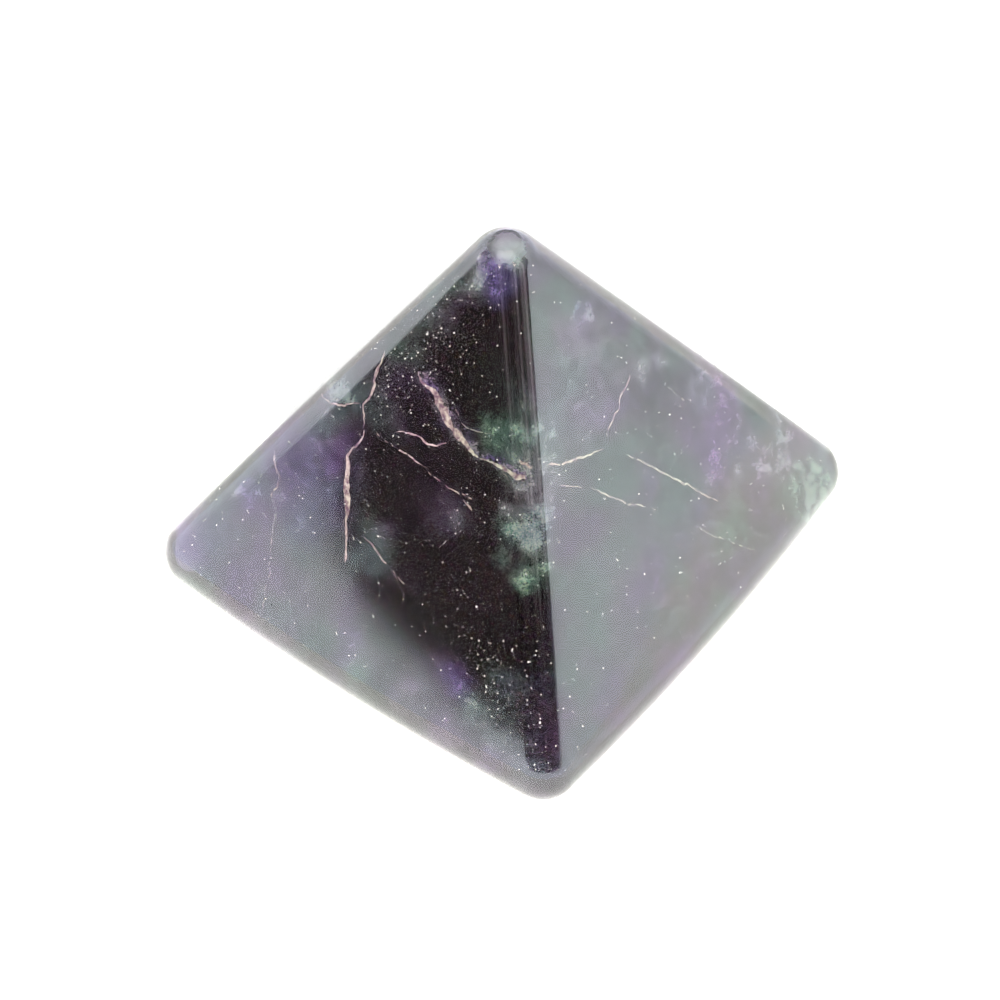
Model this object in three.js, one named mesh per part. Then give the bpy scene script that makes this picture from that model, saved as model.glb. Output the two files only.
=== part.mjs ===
// A small pyramid of fluorite, cut from one piece of rough, ground and polished.
//
// The stone rests on its flat base. Its four sides, their ridges and the edge of the base are
// rounded all over: the skin follows a ball that runs round a rectangle just inside the base, and
// from there straight up to a smaller ball at the tip. The sides stand a little proud in their
// middles, and the very tip is worn to a small flat.
//
// +Z is up, +X runs along the longer side of the base, and the origin is the middle of the base.

import * as THREE from "three";

// Driving dimensions, in millimetres.
const LENGTH = 30; // of the base along X, over its proud sides
const WIDTH = 28.6; // of the base along Y, over its proud sides
const HEIGHT = 23.2; // from the base to the worn tip
const EDGE_RADIUS = 2.1; // of the ball that rounds the corners and the edge of the base
const TIP_RADIUS = 2; // of the ball that rounds the tip
const TIP_FLAT_RADIUS = 0.75; // of the worn flat on the tip
const SIDE_BOW = 0.45; // by which the middle of each side stands proud

// How many facets follow each stretch of the skin.
const SIDE_STEPS = 6; // along a side
const CORNER_STEPS = 10; // round a corner
const EDGE_STEPS = 12; // from under the base edge to the flank
const FLANK_STEPS = 6; // up the flank
const TIP_STEPS = 7; // over the tip

const COLOUR = "#2b2833"; // dark violet-grey
const ROUGHNESS = 0.12;

// The rectangle that the centre of the edge ball follows, and the centre of the tip ball.
const TRACK_X = LENGTH / 2 - SIDE_BOW - EDGE_RADIUS;
const TRACK_Y = WIDTH / 2 - SIDE_BOW - EDGE_RADIUS;
const FLAT_RISE = Math.acos(TIP_FLAT_RADIUS / TIP_RADIUS);
const TIP_CENTRE = new THREE.Vector3(0, 0, HEIGHT - TIP_RADIUS * Math.sin(FLAT_RISE));

const UP = new THREE.Vector3(0, 0, 1);
const { lerp } = THREE.MathUtils;

// The stations of one side and of the corner after it, counter-clockwise. A station is a place of
// the edge ball's centre, with the heading, turned about Z, in which the skin faces there.
function sideStations(quarterTurn) {
  const turn = (quarterTurn * Math.PI) / 2;
  const [depth, halfSide] = quarterTurn % 2 ? [TRACK_Y, TRACK_X] : [TRACK_X, TRACK_Y];
  const station = (x, y, heading) => ({
    centre: new THREE.Vector3(x, y, EDGE_RADIUS).applyAxisAngle(UP, turn),
    heading: heading + turn,
  });

  const stations = [];
  for (let i = 0; i <= SIDE_STEPS; i++) {
    const along = lerp(-1, 1, i / SIDE_STEPS);
    const proud = SIDE_BOW * (1 - along * along);
    const heading = Math.atan((2 * SIDE_BOW * along) / halfSide);
    stations.push(station(depth + proud, along * halfSide, heading));
  }
  const cornerStart = Math.atan((2 * SIDE_BOW) / halfSide);
  const cornerEnd = Math.PI / 2 - Math.atan((2 * SIDE_BOW) / depth);
  for (let i = 1; i < CORNER_STEPS; i++) {
    stations.push(station(depth, halfSide, lerp(cornerStart, cornerEnd, i / CORNER_STEPS)));
  }
  return stations;
}

// The angle above the horizon at which the flank faces: it touches the edge ball and the tip ball.
function flankRise({ centre, heading }) {
  const reach = centre.x * Math.cos(heading) + centre.y * Math.sin(heading);
  const climb = TIP_CENTRE.z - EDGE_RADIUS;
  const apart = Math.hypot(reach, climb);
  return Math.atan2(reach, climb) + Math.asin((EDGE_RADIUS - TIP_RADIUS) / apart);
}

// The point on a ball that faces a heading and rises by an angle above the horizon.
function pointOnBall(centre, radius, heading, rise) {
  const level = radius * Math.cos(rise);
  return new THREE.Vector3(
    centre.x + level * Math.cos(heading),
    centre.y + level * Math.sin(heading),
    centre.z + radius * Math.sin(rise),
  );
}

// The skin over one station, from the rim of the base round the edge, up the flank and onto the tip.
function profile(station) {
  const { centre, heading } = station;
  const rise = flankRise(station);
  const points = [];
  for (let i = 0; i <= EDGE_STEPS; i++) {
    const turned = lerp(-Math.PI / 2, rise, i / EDGE_STEPS);
    points.push(pointOnBall(centre, EDGE_RADIUS, heading, turned));
  }
  for (let i = 1; i <= FLANK_STEPS; i++) {
    const share = i / FLANK_STEPS;
    const ballCentre = centre.clone().lerp(TIP_CENTRE, share);
    points.push(pointOnBall(ballCentre, lerp(EDGE_RADIUS, TIP_RADIUS, share), heading, rise));
  }
  for (let i = 1; i <= TIP_STEPS; i++) {
    const turned = lerp(rise, FLAT_RISE, i / TIP_STEPS);
    points.push(pointOnBall(TIP_CENTRE, TIP_RADIUS, heading, turned));
  }
  return points;
}

// The whole skin: the profiles side by side, closed by the flat base and the flat on the tip.
function stoneGeometry() {
  const profiles = [0, 1, 2, 3].flatMap(sideStations).map(profile);
  const rows = profiles[0].length;
  const baseMiddle = profiles.length * rows;
  const tipMiddle = baseMiddle + 1;

  const facets = [];
  for (let i = 0; i < profiles.length; i++) {
    const here = i * rows;
    const next = ((i + 1) % profiles.length) * rows;
    facets.push(baseMiddle, next, here);
    for (let row = 0; row < rows - 1; row++) {
      facets.push(here + row, next + row, next + row + 1);
      facets.push(here + row, next + row + 1, here + row + 1);
    }
    facets.push(tipMiddle, here + rows - 1, next + rows - 1);
  }

  const ends = [new THREE.Vector3(0, 0, 0), new THREE.Vector3(0, 0, HEIGHT)];
  const geometry = new THREE.BufferGeometry().setFromPoints([...profiles.flat(), ...ends]);
  geometry.setIndex(facets);
  geometry.computeVertexNormals();
  return geometry;
}

function fluoritePyramid() {
  const polish = new THREE.MeshStandardMaterial({ color: COLOUR, roughness: ROUGHNESS });
  const stone = new THREE.Mesh(stoneGeometry(), polish);
  stone.name = "fluorite_pyramid";
  return stone;
}

const part = new THREE.Group();
part.add(fluoritePyramid());

export default part;
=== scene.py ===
# A small polished pyramid of fluorite on white acrylic, in a low light tent.
#
# Everything is in metres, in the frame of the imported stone: +Z up, +X along the longer side of the
# base, and the origin in the middle of the base. The west side faces -X, the south side -Y.
# Places inside the stone are written in millimetres.

import math

import bpy
import numpy as np
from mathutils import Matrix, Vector
from mathutils.bvhtree import BVHTree


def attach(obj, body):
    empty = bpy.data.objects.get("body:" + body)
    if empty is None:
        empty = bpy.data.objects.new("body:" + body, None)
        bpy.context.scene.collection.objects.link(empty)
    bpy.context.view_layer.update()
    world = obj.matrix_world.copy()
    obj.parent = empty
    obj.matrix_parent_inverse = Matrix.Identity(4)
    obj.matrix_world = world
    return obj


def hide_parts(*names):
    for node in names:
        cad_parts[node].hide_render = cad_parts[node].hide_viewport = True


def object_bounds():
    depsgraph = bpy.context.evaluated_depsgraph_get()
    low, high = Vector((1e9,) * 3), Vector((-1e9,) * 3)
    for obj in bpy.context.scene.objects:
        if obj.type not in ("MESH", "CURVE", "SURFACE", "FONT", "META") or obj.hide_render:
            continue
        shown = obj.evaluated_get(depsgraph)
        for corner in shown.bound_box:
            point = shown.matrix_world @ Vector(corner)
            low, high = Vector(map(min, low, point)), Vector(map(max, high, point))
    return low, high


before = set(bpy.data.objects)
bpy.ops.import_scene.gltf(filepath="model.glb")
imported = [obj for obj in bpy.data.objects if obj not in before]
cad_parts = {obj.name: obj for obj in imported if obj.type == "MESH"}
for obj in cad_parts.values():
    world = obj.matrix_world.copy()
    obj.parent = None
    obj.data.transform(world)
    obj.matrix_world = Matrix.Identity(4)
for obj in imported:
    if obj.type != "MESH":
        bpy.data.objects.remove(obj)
cad_low, cad_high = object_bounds()

# ---------------------------------------------------------------------------------------------
# The stone.
# One piece of dark violet and green fluorite, sawn to a pyramid, ground, and tumbled and buffed
# until its sides are glossy and every edge is round. It is clear, but so deeply coloured that
# light goes through it only where it is thin.
# ---------------------------------------------------------------------------------------------

MM = 0.001
EDGE_RADIUS = 2.1 * MM
TIP_RADIUS = 2.0 * MM
TIP_FLAT_RADIUS = 0.75 * MM
SIDE_BOW = 0.45 * MM
WORN_TIP = (-0.33, -0.25, 23.1)
SIDE_STEPS, CORNER_STEPS, EDGE_STEPS, FLANK_STEPS, TIP_STEPS = 28, 24, 28, 40, 18

stone_height = cad_high.z
track_x = cad_high.x - SIDE_BOW - EDGE_RADIUS
track_y = cad_high.y - SIDE_BOW - EDGE_RADIUS
flat_rise = math.acos(TIP_FLAT_RADIUS / TIP_RADIUS)
tip_centre = np.array([0, 0, stone_height - TIP_RADIUS * math.sin(flat_rise)])


def side_stations(quarter_turn, fineness):
    """Where the edge ball's centre runs along one side and round the corner after it, and the
    heading in which the skin faces there, as rows of x, y, z, heading."""
    turn = quarter_turn * math.pi / 2
    depth, half_side = (track_y, track_x) if quarter_turn % 2 else (track_x, track_y)
    along = np.linspace(-1, 1, SIDE_STEPS * fineness + 1)
    side_x = depth + SIDE_BOW * (1 - along**2)
    side_y = along * half_side
    side_heading = np.arctan(2 * SIDE_BOW * along / half_side)
    corner_start = math.atan(2 * SIDE_BOW / half_side)
    corner_end = math.pi / 2 - math.atan(2 * SIDE_BOW / depth)
    corner_heading = np.linspace(corner_start, corner_end, CORNER_STEPS + 1)[1:-1]
    x = np.append(side_x, np.full(CORNER_STEPS - 1, depth))
    y = np.append(side_y, np.full(CORNER_STEPS - 1, half_side))
    heading = np.append(side_heading, corner_heading) + turn
    cos, sin = math.cos(turn), math.sin(turn)
    return np.stack([x * cos - y * sin, x * sin + y * cos, np.full(len(x), EDGE_RADIUS), heading], 1)


def on_ball(centre, radius, heading, rise):
    """The places on balls that face a heading and a rise."""
    facing = [np.cos(heading) * np.cos(rise), np.sin(heading) * np.cos(rise), np.sin(rise)]
    return centre + radius * np.stack(np.broadcast_arrays(*facing), -1)


def skin_rows(inset, first_edge_share, fineness=1):
    """The skin, or the surface that lies inset below it, as rows of points all round. The rows run
    up from part of the way round the bottom edge to the flat on the tip."""
    stations = np.concatenate([side_stations(q, fineness) for q in range(4)])
    centre, heading = stations[:, :3], stations[:, 3]
    edge_radius, tip_radius = EDGE_RADIUS - inset, TIP_RADIUS - inset
    reach = centre[:, 0] * np.cos(heading) + centre[:, 1] * np.sin(heading)
    climb = tip_centre[2] - EDGE_RADIUS
    apart = np.hypot(reach, climb)
    rise = np.arctan2(reach, climb) + np.arcsin((EDGE_RADIUS - TIP_RADIUS) / apart)
    rows = []
    for share in np.linspace(first_edge_share, 1, EDGE_STEPS + 1):
        rows.append(on_ball(centre, edge_radius, heading, (rise + math.pi / 2) * share - math.pi / 2))
    for share in np.linspace(0, 1, FLANK_STEPS * fineness + 1)[1:]:
        radius = edge_radius + (tip_radius - edge_radius) * share
        rows.append(on_ball(centre + (tip_centre - centre) * share, radius, heading, rise))
    for share in np.linspace(0, 1, TIP_STEPS + 1)[1:]:
        rows.append(on_ball(tip_centre, tip_radius, heading, rise + (flat_rise - rise) * share))
    return rows


def row_faces(rows, around):
    """Four-sided faces between closed rows, and one many-sided face over the last row."""
    faces = []
    for row in range(rows - 1):
        for i in range(around):
            here, after = row * around + i, row * around + (i + 1) % around
            faces.append((here, after, after + around, here + around))
    faces.append(tuple(range((rows - 1) * around, rows * around)))
    return faces


def mesh_object(name, points, faces, material, smooth):
    """A mesh object of its own in one material."""
    mesh = bpy.data.meshes.new(name)
    mesh.from_pydata([tuple(p) for p in points], [], faces)
    mesh.materials.append(material)
    mesh.polygons.foreach_set("use_smooth", [smooth] * len(mesh.polygons))
    mesh.update()
    made = bpy.data.objects.new(name, mesh)
    bpy.context.scene.collection.objects.link(made)
    return made


def mesh_piece(name, points, faces, material, smooth=False):
    """A piece in its own material that rides with the stone."""
    piece = mesh_object(name, points, faces, material, smooth)
    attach(piece, "root")
    return piece


def node(tree, kind, **values):
    """A new shader node. A value named like an input sets or feeds that input, any other sets a
    property of the node."""
    made = tree.nodes.new(kind)
    for key, value in values.items():
        name = key.replace("_", " ")
        if name not in made.inputs:
            setattr(made, key, value)
        elif isinstance(value, bpy.types.NodeSocket):
            tree.links.new(value, made.inputs[name])
        else:
            made.inputs[name].default_value = value
    return made


def maths(tree, operation, first, second=0.0, clamp=False):
    """The result of a Math node on two sockets or numbers."""
    made = tree.nodes.new("ShaderNodeMath")
    made.operation = operation
    made.use_clamp = clamp
    for socket, value in zip(made.inputs, (first, second)):
        if isinstance(value, bpy.types.NodeSocket):
            tree.links.new(value, socket)
        else:
            socket.default_value = value
    return made.outputs[0]


def spread(tree, value, low, high, to_low=0.0, to_high=1.0):
    """A value stretched smoothly from one range to another, and held at its ends."""
    made = node(tree, "ShaderNodeMapRange", interpolation_type="SMOOTHSTEP", Value=value)
    for name, number in zip(("From Min", "From Max", "To Min", "To Max"), (low, high, to_low, to_high)):
        made.inputs[name].default_value = number
    return made.outputs["Result"]


def noise(tree, place, scale, detail=0.0, roughness=0.55):
    """A soft noise over a place, with about scale lumps to the millimetre."""
    made = node(
        tree, "ShaderNodeTexNoise", Vector=place, Scale=scale, Detail=detail, Roughness=roughness
    )
    return made.outputs["Fac"]


def blend(tree, share, colour, other):
    """One colour going over to another by a share between 0 and 1."""
    made = node(tree, "ShaderNodeMix", data_type="RGBA")
    for socket, value in zip((made.inputs[0], made.inputs[6], made.inputs[7]), (share, colour, other)):
        tree.links.new(value, socket)
    return made.outputs[2]


def place_in_mm(tree):
    """The place on or in the stone, in millimetres."""
    place = node(tree, "ShaderNodeTexCoord").outputs["Object"]
    made = node(tree, "ShaderNodeVectorMath", operation="SCALE", Vector=place, Scale=1000.0)
    return made.outputs["Vector"]


def away_from(tree, place, middle):
    """The distance of a place from a fixed point."""
    made = node(tree, "ShaderNodeVectorMath", operation="DISTANCE")
    tree.links.new(place, made.inputs[0])
    made.inputs[1].default_value = middle
    return made.outputs["Value"]


def new_group(name, numbers, colours, outputs):
    """A shader node group with inputs for numbers and colours: the group and its two inner ends."""
    group = bpy.data.node_groups.new(name, "ShaderNodeTree")
    for label in numbers:
        group.interface.new_socket(label, in_out="INPUT", socket_type="NodeSocketFloat")
    for label in colours:
        group.interface.new_socket(label, in_out="INPUT", socket_type="NodeSocketColor")
    for label, kind in outputs.items():
        group.interface.new_socket(label, in_out="OUTPUT", socket_type=kind)
    given = group.nodes.new("NodeGroupInput").outputs
    return group, given, group.nodes.new("NodeGroupOutput").inputs


def stone_tone_group():
    """Three colours that run into each other over a soft noise, as tones do in a natural stone."""
    group, given, result = new_group(
        "stone tone",
        ("Scale", "Detail", "Roughness", "Dark Until", "Middle At", "Light From"),
        ("Dark", "Middle", "Light"),
        {"Color": "NodeSocketColor"},
    )
    place = place_in_mm(group)
    tone = noise(group, place, given["Scale"], given["Detail"], given["Roughness"])
    stops = [("Dark Until", "Middle At"), ("Middle At", "Light From")]
    shares = []
    for low, high in stops:
        made = node(group, "ShaderNodeMapRange", Value=tone)
        group.links.new(given[low], made.inputs["From Min"])
        group.links.new(given[high], made.inputs["From Max"])
        shares.append(made.outputs["Result"])
    colour = blend(group, shares[0], given["Dark"], given["Middle"])
    colour = blend(group, shares[1], colour, given["Light"])
    group.links.new(colour, result["Color"])
    return group


def toned(tree, scale, detail, stops, roughness=0.55):
    """The stone tone group in a material, from its three (noise value, colour) stops."""
    (dark_until, dark), (middle_at, middle), (light_from, light) = stops
    made = node(
        tree,
        "ShaderNodeGroup",
        node_tree=stone_tone,
        Scale=scale,
        Detail=detail,
        Roughness=roughness,
        Dark_Until=dark_until,
        Middle_At=middle_at,
        Light_From=light_from,
        Dark=(*dark, 1),
        Middle=(*middle, 1),
        Light=(*light, 1),
    )
    return made.outputs["Color"]


def new_material(name):
    """An empty material and its node tree."""
    material = bpy.data.materials.new(name)
    material.use_nodes = True
    material.node_tree.nodes.clear()
    return material, material.node_tree


def fluorite_material():
    """Clear, deeply absorbing crystal with a soft buffed polish, frosted where the tip is worn."""
    material, tree = new_material("polished fluorite")
    place = place_in_mm(tree)

    tint = toned(
        tree,
        0.17,
        0,
        [(0.36, (0.93, 0.86, 1.0)), (0.5, (0.95, 0.96, 0.95)), (0.64, (0.8, 0.97, 0.87))],
    )
    from_tip = away_from(tree, place, WORN_TIP)
    ragged = maths(tree, "MULTIPLY", noise(tree, place, 3.0, detail=1), 0.8)
    worn = spread(tree, maths(tree, "ADD", from_tip, ragged), 1.5, 1.2)
    waves = noise(tree, place, 0.4)
    pitted = spread(tree, from_tip, 1.1, 0.8, 0.0, 2.5)
    pits = maths(tree, "MULTIPLY", noise(tree, place, 8.0), pitted)
    height = maths(tree, "ADD", waves, pits)
    bump = node(tree, "ShaderNodeBump", Strength=1.0, Distance=0.006 * MM, Height=height)

    surface = node(
        tree,
        "ShaderNodeBsdfPrincipled",
        Base_Color=tint,
        Roughness=spread(tree, worn, 0.0, 1.0, 0.06, 0.4),
        Normal=bump.outputs["Normal"],
        IOR=1.434,
        Transmission_Weight=1.0,
    )
    depth = node(tree, "ShaderNodeVolumeAbsorption", Color=(0.36, 0.34, 0.46, 1), Density=1000.0)
    node(
        tree,
        "ShaderNodeOutputMaterial",
        Surface=surface.outputs["BSDF"],
        Volume=depth.outputs["Volume"],
    )
    return material


stone_tone = stone_tone_group()
rows = skin_rows(0, 0)
around = len(rows[0])
stone_points = np.concatenate(rows)
stone_faces = row_faces(len(rows), around) + [tuple(range(around))[::-1]]
stone = mesh_piece("polished_stone", stone_points, stone_faces, fluorite_material(), smooth=True)
for flat in stone.data.polygons[-2:]:
    flat.use_smooth = False
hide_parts("fluorite_pyramid")

# ---------------------------------------------------------------------------------------------
# The cracks.
# Old breaks that the stone grew and was cut with. Each meets the skin in a fine pale line, and
# dips into the stone as a lilac veil that catches light near the skin and fades with depth.
# ---------------------------------------------------------------------------------------------

skin_tree = BVHTree.FromPolygons([Vector(p) for p in stone_points], stone_faces)
FACING = {"west": (-1, 0), "south": (0, -1), "east": (1, 0), "north": (0, 1)}
CRACK_STEP = 0.04
LINE_DEPTH, BLOOM_DEPTH = 0.015 * MM, 0.05 * MM
FRAY_HALF_WIDTH = 0.012 * MM
VEIL_ROWS, BLOOM_ROWS = 9, 7

# A crack is (side, dip in degrees, depth of its veil, strength of its veil, route). Each point of
# the route is millimetres along the side, above the base, and across the open line. The west and
# south routes were picked by eye and turned into millimetres by a separate measuring script.
CRACKS = [
    ("west", 42, 1.3, 1.6, [
        (1.7, 17, 0.1), (1.2, 16.7, 0.2), (0.7, 16.6, 0.4), (0.2, 16.5, 0.62), (-0.2, 16.2, 0.72),
        (-0.7, 15.9, 0.6), (-1.2, 15.6, 0.5), (-1.7, 15.4, 0.5), (-2.3, 15.2, 0.42), (-2.7, 15, 0.2),
        (-3.3, 14.9, 0.09), (-3.7, 15, 0.12), (-4.1, 15, 0.17), (-4.8, 15, 0.17), (-5.3, 14.9, 0.29),
        (-5.7, 14.8, 0.29), (-6, 14.7, 0.12),
    ]),
    ("west", 50, 0.4, 0.3, [
        (-0.6, 16.6, 0.03), (-1.2, 16.3, 0.05), (-1.7, 15.9, 0.05), (-2.4, 15.9, 0.05),
        (-3.1, 16, 0.05), (-3.5, 16.1, 0.03),
    ]),
    ("west", 50, 0.4, 0.5, [
        (-5.2, 15.5, 0.12), (-5.5, 15.3, 0.17), (-5.7, 15.2, 0.17), (-6, 15.1, 0.14),
    ]),
    ("west", -50, 0.7, 0.7, [
        (4, 17, 0.06), (3.9, 16.5, 0.17), (4, 16.2, 0.23), (4, 15.7, 0.12), (3.8, 15.3, 0.23),
        (3.9, 14.7, 0.17), (4.1, 14.4, 0.12), (3.8, 14, 0.14), (3.6, 13.7, 0.06), (3.4, 13.3, 0.06),
        (3.5, 12.8, 0.12), (3.8, 12.3, 0.17), (3.9, 11.9, 0.17), (3.7, 11.7, 0.29), (3.5, 11.2, 0.23),
        (3.3, 10.7, 0.35), (3, 10.3, 0.4), (2.8, 9.9, 0.29), (2.6, 9.2, 0.17), (2.4, 8.9, 0.12),
        (2.2, 8.4, 0.14), (2, 8.1, 0.14), (1.8, 7.6, 0.12),
    ]),
    ("west", 60, 0.5, 0.5, [
        (7, 13.3, 0.06), (6.4, 13.5, 0.07), (5.7, 13.7, 0.09), (5.3, 13.8, 0.12), (4.8, 14.1, 0.06),
        (4.2, 14.4, 0.05),
    ]),
    ("west", 60, 0.4, 0.5, [
        (1.7, 14.1, 0.05), (1.2, 14.3, 0.06), (0.8, 14.4, 0.17), (0.4, 14.5, 0.06), (-0.1, 14.4, 0.17),
        (-0.6, 14.4, 0.17), (-0.9, 14.5, 0.12), (-1.2, 14.8, 0.09), (-1.3, 15.1, 0.06),
    ]),
    ("west", 70, 0.4, 0.25, [
        (2.8, 13.6, 0.05), (1.8, 13.5, 0.03), (0.9, 13.5, 0.09), (0.5, 13.5, 0.09), (-0.8, 13.3, 0.03),
        (-2.2, 13.1, 0.07), (-3, 13.1, 0.06), (-4.1, 13.2, 0.07),
    ]),
    ("west", 70, 0.3, 0.25, [
        (-3.2, 12.9, 0.06), (-3.6, 12.8, 0.07), (-4, 12.7, 0.14),
    ]),
    ("west", -60, 0.6, 0.4, [
        (1.7, 9.2, 0.03), (0.9, 9.1, 0.07), (-0.1, 8.7, 0.08), (-0.7, 8.5, 0.03), (-1.2, 8.4, 0.03),
        (-2, 8.2, 0.03),
    ]),
    ("west", 60, 0.6, 0.9, [
        (8.4, 10.4, 0.03), (8.1, 9.9, 0.05), (7.5, 9.4, 0.04), (7.3, 8.9, 0.1), (7.5, 8.4, 0.05),
        (6.9, 7.9, 0.02), (6.7, 7, 0.02), (6.4, 6.4, 0.04), (6.2, 5.7, 0.02), (5.9, 5, 0.04),
        (5.7, 3.8, 0.03), (5.5, 3.2, 0.02),
    ]),
    ("south", 55, 0.7, 0.7, [
        (-4.9, 14.9, 0.11), (-4.7, 14.8, 0.14), (-4.2, 14.5, 0.1), (-3.6, 14.3, 0.11),
        (-2.8, 14, 0.14), (-2.4, 13.9, 0.11), (-1.8, 13.7, 0.1), (-1.2, 13.5, 0.05),
    ]),
    ("south", 60, 0.8, 0.6, [
        (2.4, 15.3, 0.11), (2.4, 15.1, 0.1), (1.9, 15, 0.1), (1.2, 14.8, 0.14), (1, 14.7, 0.1),
        (0.8, 14.5, 0.05), (0.4, 14.4, 0.07), (-0.1, 14.3, 0.1), (-0.6, 14.1, 0.07),
        (-0.9, 13.9, 0.05),
    ]),
    ("south", 60, 0.7, 0.5, [
        (-0.2, 12.5, 0.05), (0.3, 11.9, 0.1), (0.9, 11.2, 0.1), (1.4, 10.5, 0.11), (1.9, 9.8, 0.1),
        (2.5, 9.2, 0.14), (3, 8.4, 0.07), (3.6, 7.7, 0.07), (4, 7.2, 0.05),
    ]),
    ("south", -60, 0.7, 0.5, [
        (-4.9, 13.8, 0.06), (-4.1, 13.2, 0.07), (-3.4, 12.7, 0.07), (-3, 12.4, 0.1),
        (-2.6, 11.9, 0.1), (-2.3, 11.5, 0.1), (-1.9, 11.1, 0.1), (-1.5, 10.6, 0.11),
        (-1, 10.3, 0.14), (-0.5, 9.8, 0.07), (0.4, 9, 0.02), (1.5, 7.7, 0.02), (2.4, 6.4, 0.05),
        (3.6, 5.1, 0.05), (4.9, 3.7, 0.02),
    ]),
    ("south", 60, 0.6, 0.3, [
        (3.7, 14.4, 0.04), (4.4, 13.3, 0.04), (5, 12.2, 0.05), (5.6, 11.5, 0.04),
    ]),
    ("east", 50, 0.9, 0.6, [
        (-6.2, 9.5, 0.06), (-4.4, 10.6, 0.12), (-2, 10.2, 0.1), (0.3, 11.4, 0.14), (2.2, 13.3, 0.1),
        (2.9, 15.2, 0.04),
    ]),
    ("east", -60, 0.6, 0.4, [
        (0.3, 11.4, 0.06), (1.9, 9.6, 0.08), (4.4, 8.3, 0.05), (6, 6.1, 0.03),
    ]),
    ("east", 60, 0.5, 0.3, [
        (-1.4, 17, 0.04), (-0.4, 15.4, 0.06), (-0.9, 13.9, 0.03),
    ]),
    ("north", -50, 0.9, 0.6, [
        (7, 7.6, 0.04), (5.2, 9, 0.1), (3.9, 11.3, 0.14), (1.4, 12.2, 0.1), (-0.8, 14.1, 0.12),
        (-1.3, 16.4, 0.04),
    ]),
    ("north", 60, 0.6, 0.4, [
        (1.4, 12.2, 0.06), (-0.9, 11, 0.1), (-3.1, 11.2, 0.06), (-5.2, 9.1, 0.04),
    ]),
    ("north", 60, 0.5, 0.3, [
        (-6.8, 5.2, 0.05), (-5.5, 3.9, 0.08), (-3, 4.1, 0.04),
    ]),
]


def wander(rng, count, step):
    """A smooth random track of count values between -1 and 1 that turns about every step values."""
    knots = rng.uniform(-1, 1, int(count / step) + 4)
    at = np.arange(count) / step
    low = at.astype(int)
    ease = (1 - np.cos((at - low) * math.pi)) / 2
    return knots[low] * (1 - ease) + knots[low + 1] * ease


def wander_together(rng, count, parts):
    """The sum of several random tracks, from a list of (amount, step)."""
    return sum(amount * wander(rng, count, step) for amount, step in parts)


def on_skin(side, flat):
    """Points on the skin of one side and their outward normals, from millimetres along and up."""
    out = Vector((*FACING[side], 0))
    across = Vector((0, 1, 0)) if out.x else Vector((1, 0, 0))
    hits = []
    for along, height in flat:
        start = across * along * MM + Vector((0, 0, height * MM)) + out * 0.05
        hits.append(skin_tree.ray_cast(start, -out)[:2])
    return np.array([h[0] for h in hits]), np.array([h[1] for h in hits])


def unit(vectors):
    """Each vector at length 1."""
    return vectors / np.maximum(np.linalg.norm(vectors, axis=1), 1e-12)[:, None]


class Crack:
    """A crack's closely spaced places on the skin, and the way that its veil goes into the stone."""

    def __init__(self, rng, side, route, dip):
        route = np.array(route, float)
        marks = np.append(0, np.cumsum(np.hypot(*np.diff(route[:, :2], axis=0).T)))
        self.count = int(marks[-1] / CRACK_STEP)
        along = np.linspace(0, marks[-1], self.count)
        flat = np.stack([np.interp(along, marks, route[:, k]) for k in (0, 1)], 1)
        self.width = np.interp(along, marks, route[:, 2])
        window = np.hanning(13)
        ends = [np.repeat(flat[:1], 6, 0), flat, np.repeat(flat[-1:], 6, 0)]
        padded = np.concatenate(ends).T
        flat = np.stack([np.convolve(row, window / window.sum(), "valid") for row in padded], 1)
        heading = unit(np.gradient(flat, axis=0))
        ragged = wander_together(rng, self.count, ((0.035, 10), (0.03, 4), (0.015, 2)))
        smooth, self.normals = on_skin(side, flat)
        flat += ragged[:, None] * np.stack([-heading[:, 1], heading[:, 0]], 1)
        self.points, _ = on_skin(side, flat)
        self.across = unit(np.cross(self.normals, unit(np.gradient(smooth, axis=0))))
        down = math.radians(abs(dip))
        sign = 1 if dip > 0 else -1
        self.into = sign * self.across * math.cos(down) - self.normals * math.sin(down)
        self.taper = np.clip(np.minimum(np.arange(self.count), np.arange(self.count)[::-1]) / 5, 0, 1)


def strip(points, low, high):
    """Points and faces of a strip that reaches from low to high beside a row of points."""
    count = len(points)
    faces = [(i, i + 1, count + i + 1, count + i) for i in range(count - 1)]
    return np.concatenate([points + low, points + high]), faces


class Gathered:
    """Points and faces gathered from many small parts into one mesh."""

    def __init__(self):
        self.points, self.faces, self.count = [], [], 0

    def add(self, points, faces):
        self.points.append(points)
        self.faces += [tuple(int(i) + self.count for i in face) for face in faces]
        self.count += len(points)


def patches_group():
    """A cover that comes and goes in patches over a soft noise, and the noise itself."""
    group, given, result = new_group(
        "patches",
        ("Scale", "Detail", "Roughness", "From Min", "From Max", "To Min", "To Max"),
        (),
        {"Cover": "NodeSocketFloat", "Noise": "NodeSocketFloat"},
    )
    place = place_in_mm(group)
    value = noise(group, place, given["Scale"], given["Detail"], given["Roughness"])
    made = node(group, "ShaderNodeMapRange", interpolation_type="SMOOTHSTEP", Value=value)
    for name in ("From Min", "From Max", "To Min", "To Max"):
        group.links.new(given[name], made.inputs[name])
    group.links.new(made.outputs["Result"], result["Cover"])
    group.links.new(value, result["Noise"])
    return group


def patchy(tree, scale, detail, roughness, noise_range, cover_range):
    """The patches group in a material: its outputs."""
    made = node(
        tree,
        "ShaderNodeGroup",
        node_tree=patches,
        Scale=scale,
        Detail=detail,
        Roughness=roughness,
        From_Min=noise_range[0],
        From_Max=noise_range[1],
        To_Min=cover_range[0],
        To_Max=cover_range[1],
    )
    return made.outputs


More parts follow.
